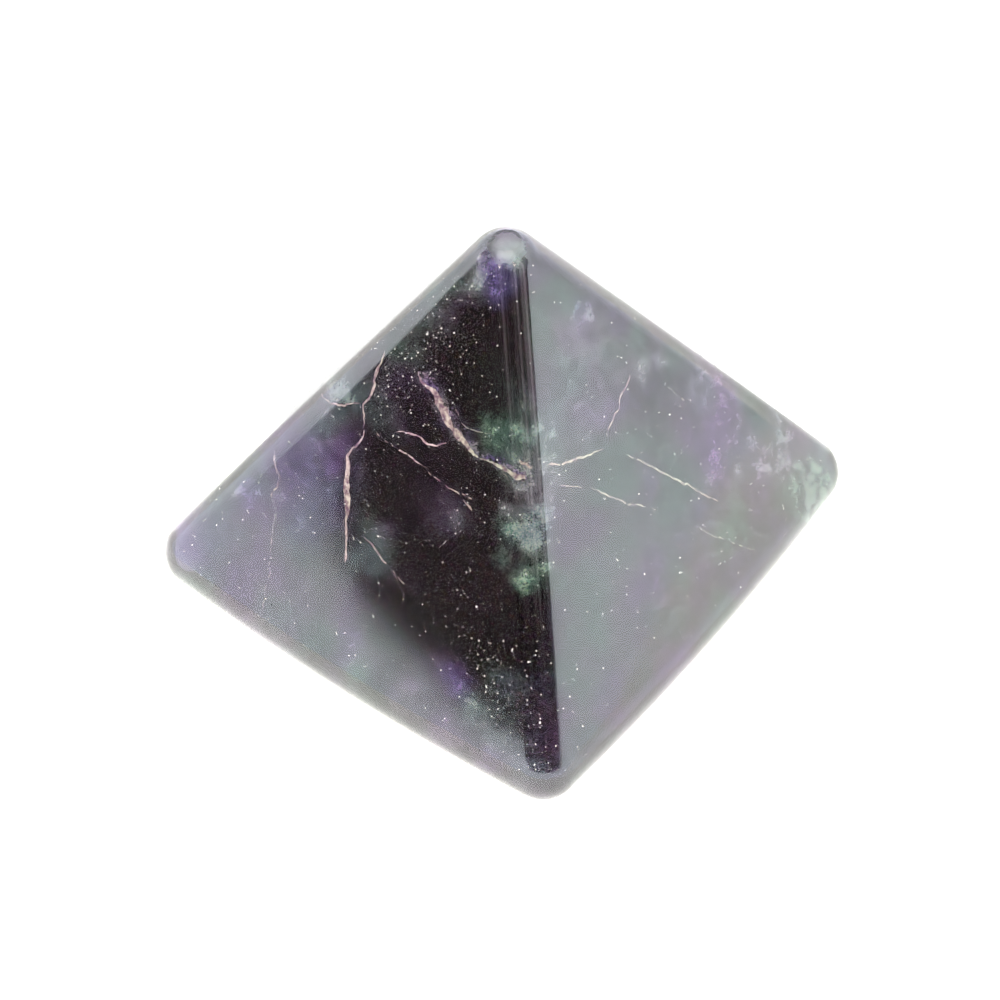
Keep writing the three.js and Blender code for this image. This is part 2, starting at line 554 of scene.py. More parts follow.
def line_material():
    """Cream where the break is open to the skin, going to rose in patches."""
    material, tree = new_material("fracture line")
    colour = toned(
        tree,
        2.6,
        2,
        [(0.38, (0.12, 0.075, 0.09)), (0.5, (0.25, 0.195, 0.17)), (0.62, (0.41, 0.36, 0.29))],
        roughness=0.7,
    )
    surface = node(
        tree, "ShaderNodeBsdfPrincipled", Base_Color=colour, Roughness=0.5, Specular_IOR_Level=0.0
    )
    node(tree, "ShaderNodeOutputMaterial", Surface=surface.outputs["BSDF"])
    return material


def kept_value(tree, name):
    """The value that the mesh keeps under a name, at the point being shaded."""
    return node(tree, "ShaderNodeAttribute", attribute_name=name).outputs["Fac"]


def veil_material():
    """A film of tiny gaps along the break: lilac and grey, patchy, fading away from the skin."""
    material, tree = new_material("fracture veil")
    colour = toned(
        tree,
        0.9,
        3,
        [(0.38, (0.09, 0.06, 0.13)), (0.5, (0.18, 0.14, 0.18)), (0.62, (0.26, 0.23, 0.22))],
    )
    depth = kept_value(tree, "depth_share")
    strength = kept_value(tree, "strength")
    cover = patchy(tree, 2.2, 2, 0.7, (0.34, 0.58), (0.15, 1.1))["Cover"]
    grain = patchy(tree, 10.0, 0, 0.55, (0.3, 0.65), (0.5, 1.1))["Cover"]
    fade = maths(tree, "POWER", maths(tree, "SUBTRACT", 1.0, depth), 1.3)
    alpha = maths(tree, "MULTIPLY", maths(tree, "MULTIPLY", cover, grain), fade)
    alpha = maths(tree, "MULTIPLY", alpha, strength, clamp=True)
    surface = node(
        tree,
        "ShaderNodeBsdfPrincipled",
        Base_Color=colour,
        Roughness=0.5,
        Specular_IOR_Level=0.0,
        Alpha=alpha,
    )
    node(tree, "ShaderNodeOutputMaterial", Surface=surface.outputs["BSDF"])
    return material


def set_values(piece, name, values):
    """Keeps one value for each point of a mesh, for its material to read."""
    attribute = piece.data.attributes.new(name, "FLOAT", "POINT")
    attribute.data.foreach_set("value", np.asarray(values, np.float32))


patches = patches_group()
rng = np.random.default_rng(7)
lines, veils = Gathered(), Gathered()
depth_shares, strengths = [], []


def add_sheet(sheet_rows, shares, strength):
    """One film of a crack: rows of points beside each other, each with its share of the depth."""
    count = len(sheet_rows[0])
    for row, (points, share) in enumerate(zip(sheet_rows, shares)):
        start = veils.count
        veils.points.append(points)
        veils.count += count
        depth_shares.append(np.full(count, share))
        strengths.append(np.full(count, strength))
        if row:
            veils.faces += [
                (start - count + i, start - count + i + 1, start + i + 1, start + i)
                for i in range(count - 1)
            ]


for side, dip, veil_depth, veil_strength, route in CRACKS:
    crack = Crack(rng, side, route, dip)
    count = crack.count
    swell = np.clip(0.85 + wander_together(rng, count, ((0.4, 14), (0.15, 5), (0.08, 2))), 0.1, 1.6)
    open_here = wander(rng, count, 5) > np.interp(crack.width, (0.02, 0.05, 0.12), (0.6, -0.2, -1.1))
    half_width = 0.46 * MM * crack.width * swell * crack.taper * open_here
    to_rim = crack.across * half_width[:, None]
    sunk = -LINE_DEPTH * crack.normals
    lines.add(*strip(crack.points + sunk, -to_rim, to_rim))
    for _ in range(int(count / 90)):
        start = rng.integers(0, count - 12)
        length = min(rng.integers(10, 34), count - start)
        part = slice(start, start + length)
        turn = rng.uniform(-0.6, 0.6)
        steps = np.arange(length)
        aside = steps * CRACK_STEP * MM * turn + 0.01 * MM * wander(rng, length, 3)
        fray = crack.points[part] + crack.across[part] * aside[:, None]
        thinner = np.clip(1 - steps / length, 0.1, 1)
        to_rim = crack.across[part] * FRAY_HALF_WIDTH * thinner[:, None]
        lines.add(*strip(fray + sunk[part], -to_rim, to_rim))
    reach = veil_depth * MM * (0.75 + 0.35 * wander(rng, count, 22)) * np.clip(crack.taper * 1.5, 0, 1)
    bend = 0.08 * MM * wander(rng, count, 17)
    shares = np.linspace(0, 1, VEIL_ROWS)
    inward = crack.into * reach[:, None] + crack.across * bend[:, None]
    add_sheet([crack.points + sunk + inward * share for share in shares], shares, veil_strength)
    bloom = MM * (0.18 + 1.2 * crack.width) * (0.75 + 0.4 * wander(rng, count, 12)) * crack.taper
    offsets = np.linspace(-1, 1, BLOOM_ROWS)
    deeper = -BLOOM_DEPTH * crack.normals
    add_sheet(
        [crack.points + deeper + crack.across * (bloom * offset)[:, None] for offset in offsets],
        0.35 + 0.65 * np.abs(offsets),
        0.7 * veil_strength,
    )

mesh_piece("fracture_lines", np.concatenate(lines.points), lines.faces, line_material())
veil = mesh_piece("fracture_veils", np.concatenate(veils.points), veils.faces, veil_material())
set_values(veil, "depth_share", np.concatenate(depth_shares))
set_values(veil, "strength", np.concatenate(strengths))

# ---------------------------------------------------------------------------------------------
# The colour zones.
# Fluorite grows in zones of violet and green. Here they show just under the skin, as ragged
# clouds on fine films inside the clear crystal, with a thin grainy haze between them. The haze is
# partly painted light and shade: it is thin on the west side beside its ridge with the south side,
# where that side mirrors the dark room, and in a few clear places, and thick elsewhere.
# ---------------------------------------------------------------------------------------------

FILM_DEPTHS = (0.25, 0.8)
FILM_FINENESS = 2
GRAIN_COVER = 0.16

# A cloud, a hazy place or a clear place is (x, y, z, reach, strength), in millimetres. Those on
# the west and south sides were picked by eye, and many were turned into millimetres by the same
# measuring script as the cracks.
GREEN_CLOUDS = [
    (-6.8, 5.5, 14.1, 1.1, 0.8),
    (-6.3, 5.6, 14.6, 1, 0.5),
    (-10.1, 1.4, 9.5, 0.9, 0.08),
    (-5.2, -4.7, 16.2, 1.7, 0.6),
    (-7.2, -7.4, 12.8, 1.1, 1),
    (-8.2, -6.5, 12.4, 0.8, 0.9),
    (-7.7, -7.5, 12.3, 0.7, 1.3),
    (-9, -6.3, 11.3, 0.6, 0.8),
    (-9, -8, 10.9, 0.75, 0.85),
    (-7.8, -8.5, 11.3, 0.6, 0.7),
    (-4.7, -5.6, 16, 1.2, 0.55),
    (-13.1, -7.9, 4.8, 1, 0.5),
    (-12.2, -9, 5.9, 1.4, 0.25),
    (-13.8, -10.2, 3.9, 1.6, 0.25),
    (10.8, -13.3, 3.3, 2.1, 0.8),
    (9.4, -11.6, 5.8, 1.2, 0.3),
    (1.9, -8.1, 11.9, 2, 0.06),
    (-0.4, -5.3, 16.3, 3.2, 0.1),
    (-2.8, -5.4, 15.6, 1.8, 0.14),
    (3.2, -12.1, 5.6, 1.6, 0.16),
    (12.3, 6.5, 6, 1.6, 0.4),
    (11.3, 4.6, 7.6, 1.3, 0.55),
    (10.3, 3.4, 9.2, 1, 0.65),
    (9.8, 1.2, 10, 1.5, 0.25),
    (8.5, -0.8, 11.8, 1.1, 0.45),
    (3.2, 11, 7.4, 1.2, 0.55),
    (4.8, 11.7, 6.2, 1.5, 0.3),
    (1.8, 9.7, 9.4, 0.9, 0.55),
    (2.6, 6.7, 14.2, 1.1, 0.3),
]
VIOLET_CLOUDS = [
    (-9.9, 6.3, 9.5, 3, 0.42),
    (-11, 8.9, 7.4, 0.9, 0.6),
    (-13.1, 10, 4.5, 2.9, 0.12),
    (-1.4, -0.2, 22.4, 0.9, 0.9),
    (-1.7, -0.9, 21.8, 0.9, 0.75),
    (-13.1, -6.5, 5.4, 0.9, 0.55),
    (-11.4, -10.6, 6.6, 1.3, 0.08),
    (-12, -9.4, 6.2, 0.9, 0.12),
    (-1, -6.5, 14.4, 1.3, 0.08),
    (1.6, -3.6, 18.9, 0.8, 0.4),
    (-14.6, 3.3, 1.5, 1.72, 0.12),
    (-3.4, 9.1, 10.4, 1.3, 0.55),
    (-4.6, 10, 8.8, 1.5, 0.4),
    (-2.2, 7.8, 12.4, 0.9, 0.55),
    (-5.8, 11.2, 6.8, 2, 0.16),
    (11.3, -3.2, 7.6, 1.5, 0.4),
    (10.5, -4.8, 8.8, 1.1, 0.5),
    (11.8, -6.2, 6.8, 1.9, 0.16),
    (6.6, -2.4, 14.6, 1, 0.4),
]
MAUVE_CLOUDS = [
    (-13.9, 5.2, 3.8, 2.6, 0.14),
    (-10.1, 0.2, 9.6, 0.7, 0.25),
    (-10.9, -1.9, 8.3, 0.9, 0.06),
    (-8.5, -2.5, 11.8, 1.3, 0.2),
    (-12.9, -5.4, 5.3, 1.1, 0.2),
    (-12.9, -12.1, 4.3, 1.7, 0.14),
    (-13.5, -5.1, 4.4, 1.5, 0.12),
    (-14.2, -6.7, 3.2, 1.9, 0.1),
    (-14.1, -12, 3, 1.5, 0.14),
    (7.7, -8.4, 11, 2.3, 0.38),
    (4.8, -8.4, 11.4, 1.8, 0.12),
    (5.3, -10.1, 8.6, 1.3, 0.5),
    (10.4, -11.2, 6.6, 1.9, 0.32),
    (8.2, -11, 7.1, 1.1, 0.42),
    (7.4, -9.7, 9, 1.6, 0.36),
    (-4.9, -9.8, 9.2, 0.9, 0.22),
    (13.4, 0.6, 4.4, 2.4, 0.1),
    (13.9, -2.6, 3.6, 1.7, 0.14),
    (0.4, 12.7, 4.6, 2.2, 0.12),
]
PALE_CLOUDS = [
    (-5.5, -6.5, 14.3, 1.3, 0.3),
    (-6.7, -6.9, 13.4, 0.8, 0.4),
    (8.1, -11.5, 6.3, 0.5, 0.6),
    (6.5, -11, 7.2, 0.5, 0.4),
    (3.5, -6.2, 14.8, 0.6, 0.4),
    (5, -6.4, 14.4, 0.5, 0.35),
    (-11.3, 9.8, 7.2, 0.22, 0.8),
    (-7.5, -5.7, 13.1, 0.5, 0.5),
    (-1.8, 0.5, 21.8, 0.6, 0.5),
    (-1.3, 0.3, 22.5, 0.5, 0.4),
    (-8.5, -3.3, 11.8, 0.4, 0.4),
    (-6, -6, 14.8, 1.3, 0.35),
    (-6.3, -5.7, 14.6, 0.7, 0.7),
    (1.9, -3.8, 18.6, 0.4, 0.6),
    (-4.8, -5.4, 16, 1.2, 0.25),
    (-7.6, -7.4, 12.4, 0.7, 0.7),
    (-0.3, -0.2, 23, 1, 1),
    (4, 11.3, 6.8, 0.5, 0.4),
    (10.4, 3.6, 9, 0.6, 0.4),
]
CLOUDS = {
    "green": GREEN_CLOUDS,
    "violet": VIOLET_CLOUDS,
    "mauve": MAUVE_CLOUDS,
    "pale": PALE_CLOUDS,
}
# Hazy places thicken the haze as painted light.
HAZY_PAINTED_LIGHT_PLACES = [
    (-2.4, 1.2, 21.2, 1.3, 1.2),
    (-3.6, 2.1, 19.4, 1.5, 1.2),
    (-5.1, 3.1, 17.2, 1.7, 1.1),
    (-6.6, 3.9, 15, 1.8, 0.9),
    (-7.9, 5.4, 13, 1.8, 0.6),
    (-5.6, 2.3, 16.4, 1.6, 0.5),
    (-7, 2.7, 14.4, 1.3, 0.7),
    (-14, -1, 4, 1.2, 1.5),
    (-14.3, -3.8, 3.1, 1.3, 1.6),
    (-14.4, -6.6, 2.9, 1.5, 1.5),
    (-14.5, -9.7, 2.5, 1.6, 1.25),
    (-14.2, -12.4, 2.2, 1.6, 1.25),
    (0.5, 0.5, 22.8, 1.4, 1),
    (-11.1, 0.7, 8.5, 1.2, 1.8),
    (-2, -4.9, 16.4, 3.4, 0.35),
    (0.4, -4, 18.4, 2.3, 0.65),
    (-13.4, -2, 5, 0.95, 1.2),
    (-13.8, -4.1, 4.3, 0.95, 1.6),
    (-0.9, 0.9, 22.6, 0.8, 0.9),
    (0.9, -1, 22.6, 0.7, 0.9),
]
# Clear places thin the haze as painted shade.
CLEAR_PAINTED_SHADE_PLACES = [
    (2.8, -7.2, 13.7, 1.4, 1),
    (4.7, -8, 12.4, 1.7, 0.9),
    (2.6, -8.2, 12.2, 1.5, 0.85),
    (3.9, -6.8, 14.3, 0.8, 0.8),
    (-9.9, 6.9, 10, 1.8, 0.9),
    (-11, 4.6, 8.5, 2.1, 0.9),
    (-11.8, 2.6, 7.4, 1.6, 0.9),
]


def smooth_share(value, low, high):
    """A smooth step: 0 below low, 1 above high."""
    share = np.clip((value - low) / (high - low), 0, 1)
    return share * share * (3 - 2 * share)


def billow(points, size, amount):
    """A smooth, lumpy displacement, whose lumps are about size millimetres across."""
    rng = np.random.default_rng(31)
    moved = np.zeros_like(points)
    for octave in range(4):
        waves = rng.normal(size=(8, 3)) * 2.2 * 1.9**octave / size
        ways = rng.normal(size=(8, 3)) * amount / 1.6**octave / 3
        moved += np.cos(points @ waves.T + rng.uniform(0, 2 * math.pi, 8)) @ ways
    return moved


def cloud_share(points, clouds):
    """The strength of the strongest listed cloud at each point, ragged at the cloud's rim."""
    lumps = billow(points, 1.6, 0.45)
    total = np.zeros(len(points))
    for x, y, z, reach, strength in clouds:
        away = np.linalg.norm(points + lumps * min(1, reach / 1.8) - (x, y, z), axis=1) / reach
        inward = np.clip((1.6 - away) / 1.5, 0, 1)
        total = np.maximum(total, strength * inward * inward * (3 - 2 * inward))
    return total


def ramp(tree, source, stops):
    """A colour ramp over a value, from a list of (place, colour)."""
    made = node(tree, "ShaderNodeValToRGB", Fac=source)
    band = made.color_ramp
    while len(band.elements) < len(stops):
        band.elements.new(0.5)
    for element, (place, colour) in zip(band.elements, stops):
        element.position = place
        element.color = (*colour, 1)
    return made.outputs["Color"]


def zone_material():
    """Films of coloured crystal: green, violet and pale clouds among fine coloured grains."""
    material, tree = new_material("growth zones")
    place = place_in_mm(tree)
    smoky = patchy(tree, 1.2, 3, 0.65, (0.25, 0.72), (0.35, 1.1))
    smoke, thick = smoky["Noise"], smoky["Cover"]
    speckle = node(tree, "ShaderNodeTexNoise", Vector=place, Scale=13.0, Detail=0.0)
    grain = speckle.outputs["Fac"]
    shares = {}
    for name in (*CLOUDS, "haze"):
        shares[name] = kept_value(tree, name)
        if name != "haze":
            shares[name] = maths(tree, "MULTIPLY", shares[name], thick)
    grains = spread(tree, grain, 0.48, 0.62, 0.0, GRAIN_COVER)
    mist = spread(tree, smoke, 0.35, 0.65, 0.1, 0.21)
    colours = {
        "violet": [(0.3, (0.05, 0.03, 0.13)), (0.5, (0.11, 0.075, 0.21)), (0.7, (0.23, 0.18, 0.33))],
        "mauve": [(0.3, (0.07, 0.035, 0.09)), (0.5, (0.15, 0.095, 0.17)), (0.7, (0.29, 0.22, 0.3))],
        "green": [(0.34, (0.02, 0.07, 0.062)), (0.48, (0.1, 0.18, 0.135)), (0.64, (0.28, 0.36, 0.25))],
        "pale": [(0.34, (0.16, 0.17, 0.165)), (0.62, (0.38, 0.4, 0.37))],
    }
    colour = toned(
        tree,
        0.34,
        1,
        [(0.36, (0.29, 0.2, 0.36)), (0.48, (0.29, 0.27, 0.3)), (0.6, (0.22, 0.33, 0.27))],
    )
    tinted = node(tree, "ShaderNodeVectorMath", operation="MULTIPLY_ADD")
    tree.links.new(speckle.outputs["Color"], tinted.inputs[0])
    tinted.inputs[1].default_value = (0.62, 0.54, 0.58)
    tinted.inputs[2].default_value = (-0.2, -0.18, -0.19)
    # The haze share is partly painted light and shade, and sets the mist's cover.
    alpha = maths(tree, "MULTIPLY", mist, shares["haze"])
    hazed = spread(tree, shares["haze"], 0.0, 0.05)
    layers = [(maths(tree, "MULTIPLY", grains, hazed), tinted.outputs[0])]
    lights = maths(tree, "MULTIPLY", smoke, 0.65)
    lights = maths(tree, "ADD", lights, maths(tree, "MULTIPLY", grain, 0.35))
    layers += [(shares[name], ramp(tree, lights, stops)) for name, stops in colours.items()]
    for share, layer_colour in layers:
        together = maths(tree, "ADD", alpha, share)
        colour = blend(tree, maths(tree, "DIVIDE", share, together), colour, layer_colour)
        alpha = together
    surface = node(
        tree,
        "ShaderNodeBsdfPrincipled",
        Base_Color=colour,
        Roughness=0.6,
        Specular_IOR_Level=0.0,
        Alpha=maths(tree, "MINIMUM", alpha, 0.85),
    )
    node(tree, "ShaderNodeOutputMaterial", Surface=surface.outputs["BSDF"])
    return material


films, in_haze = Gathered(), []
for depth in FILM_DEPTHS:
    rows = skin_rows(depth * MM, 0.35, FILM_FINENESS)
    film_points = np.concatenate(rows)
    film_faces = row_faces(len(rows), len(rows[0]))
    if depth > FILM_DEPTHS[0]:
        clouded = sum(cloud_share(film_points / MM, clouds) for clouds in CLOUDS.values()) > 0.01
        film_faces = [face for face in film_faces if clouded[list(face)].any()]
        used = np.unique(np.concatenate(film_faces))
        place_of = np.zeros(len(film_points), int)
        place_of[used] = np.arange(len(used))
        film_points = film_points[used]
        film_faces = [tuple(place_of[list(face)]) for face in film_faces]
    films.add(film_points, film_faces)
    in_haze.append(np.full(len(film_points), float(depth == FILM_DEPTHS[0])))
film_points = np.concatenate(films.points)
zones = mesh_piece("growth_zones", film_points, films.faces, zone_material(), smooth=True)
film_values = {name: cloud_share(film_points / MM, clouds) for name, clouds in CLOUDS.items()}
# The haze is laid as painted light and shade: thin on the west side beside its ridge with the south
# side, thick elsewhere.
up_share = film_points[:, 2] / stone_height
beside_west = film_points[:, 1] + (1 - up_share) * cad_high.y
beside_south = film_points[:, 0] + (1 - up_share) * cad_high.x
west_haze_and_painted_light = smooth_share(beside_west, 9 * MM, 12.5 * MM)
south_haze_and_painted_light = smooth_share(beside_south, -0.5 * MM, 1.2 * MM)
film_haze_and_painted_light = np.maximum(west_haze_and_painted_light, south_haze_and_painted_light) * (1 - cloud_share(film_points / MM, CLEAR_PAINTED_SHADE_PLACES))
film_haze_and_painted_light = np.clip(0.06 + film_haze_and_painted_light + cloud_share(film_points / MM, HAZY_PAINTED_LIGHT_PLACES), 0, 2.4)
film_values["haze"] = np.concatenate(in_haze) * film_haze_and_painted_light
for name, values in film_values.items():
    set_values(zones, name, values)

# ---------------------------------------------------------------------------------------------
# Dust and lint.
# Specks that have settled on the polished sides, thickest beside the tip and low on the west
# side, and some short curled fibres. They lie loose on the stone.
# ---------------------------------------------------------------------------------------------

SKIN_SAMPLES = 60000
USUAL_SPECK, LARGEST_SPECK = 0.018 * MM, 0.05 * MM
FIBRES, FIBRE_STEPS = 80, 7
# A dusty place is (x, y, z, reach, density), in millimetres.
DUSTY_PLACES = [
    (-1.6, 0.4, 22.2, 1.3, 0.9),
    (-3.6, 2.2, 19, 2.2, 0.6),
    (-5.8, 2.8, 15.8, 2.6, 0.5),
    (-10, -4.6, 9, 1.6, 0.3),
    (-11.4, -6.6, 7.2, 1.8, 0.22),
    (-12.5, -9.5, 5.6, 2.4, 0.2),
    (-13.5, -12.6, 3.6, 1.5, 0.3),
    (-7.5, -4.5, 13.0, 2.2, 0.3),
]


def skin_samples(rng, count):
    """Evenly scattered points on the skin above the base, with their outward normals."""
    polygons = stone.data.polygons
    area = np.empty(len(polygons))
    polygons.foreach_get("area", area)
    area[-1] = 0
    area[-2] = 0
    face = rng.choice(len(polygons), count, p=area / area.sum())
    quads = np.array([f if len(f) == 4 else (0, 0, 0, 0) for f in stone_faces])[face]
    a, b = rng.uniform(size=(2, count, 1))
    corner = [stone_points[quads[:, k]] for k in range(4)]
    point = (corner[0] * (1 - a) + corner[1] * a) * (1 - b) + (corner[3] * (1 - a) + corner[2] * a) * b
    normal = unit(np.cross(corner[1] - corner[0] + corner[2] - corner[3], corner[3] - corner[0]))
    return point, normal


def dust_material():
    """Specks of three tones, from grey to nearly white."""
    material, tree = new_material("pale dust")
    colour = toned(
        tree,
        7.0,
        0,
        [(0.34, (0.07, 0.08, 0.09)), (0.48, (0.15, 0.15, 0.14)), (0.6, (0.45, 0.43, 0.39))],
    )
    surface = node(tree, "ShaderNodeBsdfPrincipled", Base_Color=colour, Roughness=0.8)
    node(tree, "ShaderNodeOutputMaterial", Surface=surface.outputs["BSDF"])
    return material


def lying_ways(rng, out):
    """Two random ways square to each other that lie in the skin."""
    first = unit(np.cross(out, rng.normal(size=3))[None])[0]
    return first, np.cross(out, first)


rng = np.random.default_rng(21)
point, normal = skin_samples(rng, SKIN_SAMPLES)
settled = (point[:, 2] > 3.0 * MM) & (point[:, 2] < stone_height - 0.5 * MM)
density_here = 0.07 + 0.09 * np.clip(1 - point[:, 2] / (16 * MM), 0, 1)
for x, y, z, reach, density in DUSTY_PLACES:
    away = np.linalg.norm(point / MM - (x, y, z), axis=1) / reach
    density_here += density * np.exp(-(away**2))
settled &= rng.uniform(size=len(point)) < density_here
specks = Gathered()
for spot, out in zip(point[settled], normal[settled]):
    first, second = lying_ways(rng, out)
    size = min(LARGEST_SPECK, USUAL_SPECK * rng.lognormal(0, 0.7))
    stretch = rng.uniform(0.5, 1.0)
    turns = np.arange(6) * math.pi / 3 + rng.uniform(-0.35, 0.35, 6)
    reach = size * rng.uniform(0.6, 1.2, 6)
    rim = spot + np.cos(turns)[:, None] * first * reach[:, None]
    rim = rim + np.sin(turns)[:, None] * second * reach[:, None] * stretch
    specks.add(np.vstack([rim, spot + out * size * 0.4]), [(i, (i + 1) % 6, 6) for i in range(6)])
for _ in range(FIBRES):
    k = rng.integers(len(point))
    if not 3.5 * MM < point[k, 2] < stone_height - 1.5 * MM:
        continue
    first, second = lying_ways(rng, normal[k])
    length = rng.uniform(0.06, 0.28) * MM
    curl = rng.uniform(-1, 1)
    turn = np.cumsum(np.full(FIBRE_STEPS, curl / FIBRE_STEPS))[:, None]
    ahead = np.cos(turn) * first + np.sin(turn) * second
    aside = np.cos(turn) * second - np.sin(turn) * first
    track = point[k] + np.cumsum(ahead * length / FIBRE_STEPS, axis=0)
    thick = rng.uniform(0.012, 0.022) * MM
    ridge = track + normal[k] * thick * 1.4
    fibre = np.concatenate([track + aside * thick, ridge, track - aside * thick])
    left = [(i, i + 1, FIBRE_STEPS + i + 1, FIBRE_STEPS + i) for i in range(FIBRE_STEPS - 1)]
    right = [tuple(i + FIBRE_STEPS for i in face) for face in left]
    specks.add(fibre, left + right)
mesh_piece("dust_and_lint", np.concatenate(specks.points), specks.faces, dust_material())

# ---------------------------------------------------------------------------------------------
# The light table.
# A flat sheet of white acrylic that glows by itself, with painted shade in its glow: not at all
# under the stone, less the nearer to the stone in front of it, and little behind it, where a dark
# pool of painted shadow lies.
# ---------------------------------------------------------------------------------------------

TABLE_DROP = 0.02 * MM
# The table's glow is set where lines cross that lie this far from its middle, in millimetres.
NEAR_LINES = (0, 4, 8, 11, 12, 12.5, 13, 13.5, 14, 15, 16.5, 18, 20, 23, 27)
FAR_LINES = (32, 40, 52, 70, 95, 130, 180, 250, 350, 500)
UNLIT_X, UNLIT_Y = 12.6 * MM, 11.9 * MM
NEAR_SHADED_GLOW, FAR_GLOW, NEAR_REACH = 2.9, 6.3, 4.5 * MM
SHADOW_POOL_GLOW, SHADOW_POOL_RISE, SHADOW_POOL_FADE = 0.45, 3.2, 0.09


def table_glow_and_painted_shade(x, y):
    """The table's own light at a place, with painted shade near the stone and behind it."""
    azimuth = math.degrees(math.atan2(x, -y))
    outside = max(abs(x) - UNLIT_X, abs(y) - UNLIT_Y)
    if outside <= 0:
        return 0
    # Both shares below paint shade: a dimmer glow near the stone in front, and a shadow pool behind it.
    front_share = smooth_share(azimuth, -185, -130) * smooth_share(-azimuth, -80, -30)
    front = NEAR_SHADED_GLOW + (FAR_GLOW - NEAR_SHADED_GLOW) * (1 - math.exp(-outside / NEAR_REACH))
    front *= 1 - 0.18 * smooth_share(azimuth, -70, -20)
    shadow_pool = SHADOW_POOL_GLOW + SHADOW_POOL_RISE * (1 - math.exp(-outside / SHADOW_POOL_FADE))
    return front * front_share + shadow_pool * (1 - front_share)


def lit_sheet(name, points, across, closed, values, material):
    """A stage sheet of rows of points, closed into rings or not, lit point by point."""
    faces = []
    for row in range(len(points) // across - 1):
        for i in range(across if closed else across - 1):
            here, after = row * across + i, row * across + (i + 1) % across
            faces.append((here, after, after + across, here + across))
    sheet = mesh_object(name, points, faces, material, smooth=True)
    set_values(sheet, "lit", values)
    material.cycles.emission_sampling = "NONE"


table_material, tree = new_material("glowing acrylic")
acrylic = node(
    tree,
    "ShaderNodeBsdfPrincipled",
    Base_Color=(0.12, 0.12, 0.12, 1),
    Roughness=0.6,
    Specular_IOR_Level=0.0,
    Emission_Color=(1, 0.99, 0.94, 1),
    Emission_Strength=kept_value(tree, "lit"),
)
node(tree, "ShaderNodeOutputMaterial", Surface=acrylic.outputs["BSDF"])
lines_out = NEAR_LINES + FAR_LINES
lines_at = [-line * MM for line in lines_out[:0:-1]] + [line * MM for line in lines_out]
table_points = [(x, y, -TABLE_DROP) for y in lines_at for x in lines_at]
table_lit = [table_glow_and_painted_shade(x, y) for x, y, _ in table_points]
lit_sheet("light_table", table_points, len(lines_at), False, table_lit, table_material)

# ---------------------------------------------------------------------------------------------
# The light tent.
# A low round wall of white cloth, lit from outside, and less so behind. It is cut lower on the
# left, where the dark room shows over it, and it goes up behind. Its light fades towards its hem.
# ---------------------------------------------------------------------------------------------

TENT_RADIUS = 0.25
TENT_HEIGHT, BACK_HEIGHT, TENT_GLOW = 0.082, 0.53, 6.3
TENT_DIP, DIP_AZIMUTH, DIP_WIDTH_LEFT, DIP_WIDTH_RIGHT = 0.0393, -112.0, 16.0, 23.0
TENT_AROUND, TENT_UP = 180, 36
MIDDLE_OF_BACK = 115


def tent_top(azimuth):
    """How high the tent's wall is lit, over the azimuth in degrees, and the share of that height
    at which its light starts to fade."""
    away = azimuth - DIP_AZIMUTH
    dip = math.exp(-((away / (DIP_WIDTH_LEFT if away < 0 else DIP_WIDTH_RIGHT)) ** 2))
    behind = smooth_share(azimuth % 360, 26, 52) * smooth_share(-(azimuth % 360), -200, -172)
    low_top = TENT_HEIGHT - TENT_DIP * dip + 0.035 * smooth_share(azimuth, 5, 20)
    ridge_side = math.exp(-(((azimuth + 14) / 24) ** 2))
    left_side = math.exp(-(((azimuth + 125) / 6) ** 2))
    fade_from = 0.94 - 0.07 * dip - 0.3 * left_side - 0.5 * ridge_side
    return low_top + (BACK_HEIGHT - low_top) * behind, fade_from


def glowing_material(name, colour, strength):
    """A sheet that glows in one colour, by the light that its mesh keeps times a strength."""
    material, tree = new_material(name)
    lit = maths(tree, "MULTIPLY", kept_value(tree, "lit"), strength)
    glow = node(tree, "ShaderNodeEmission", Color=(*colour, 1), Strength=lit)
    node(tree, "ShaderNodeOutputMaterial", Surface=glow.outputs["Emission"])
    return material


def round_place(radius, azimuth, height):
    """A place on an upright round wall, whose azimuth is 0 towards -Y and 90 towards +X."""
    turn = math.radians(azimuth)
    return radius * math.sin(turn), -radius * math.cos(turn), height


tent_points, tent_lit = [], []
for row in range(TENT_UP + 1):
    for i in range(TENT_AROUND):
        azimuth = 360 * i / TENT_AROUND - 180
        top, fade_from = tent_top(azimuth)
        tent_points.append(round_place(TENT_RADIUS, azimuth, top * row / TENT_UP))
        from_back = abs((azimuth - MIDDLE_OF_BACK + 180) % 360 - 180)
        shade = 1 - 0.4 * smooth_share(-from_back, -92, -62)
        tent_lit.append(shade * min(1, (1 - row / TENT_UP) / (1 - fade_from)))
tent_cloth = glowing_material("lit tent", (0.95, 1.0, 1.06), TENT_GLOW)
lit_sheet("tent_wall", tent_points, TENT_AROUND, True, tent_lit, tent_cloth)

# ---------------------------------------------------------------------------------------------
# The lamps.
# One round soft lamp over the stone, and two warm strip lamps beside the curtain, which show as
# two very small glints under the tip.
# ---------------------------------------------------------------------------------------------

ROUND_LAMP_GLOW = 16.5


def way_to(azimuth, elevation):
    """The way from the stone towards a direction in degrees."""
    azimuth, elevation = math.radians(azimuth), math.radians(elevation)
    return Vector(
        (
            math.sin(azimuth) * math.cos(elevation),
            -math.cos(azimuth) * math.cos(elevation),
            math.sin(elevation),
        )
    )


def stand_facing(name, data, place, way):
    """Puts a lamp or a camera at a place, so that it looks against the way."""
    standing = bpy.data.objects.new(name, data)
    standing.location = place
    standing.rotation_mode = "QUATERNION"
    standing.rotation_quaternion = (-way).to_track_quat("-Z", "Y")
    bpy.context.scene.collection.objects.link(standing)
    return standing


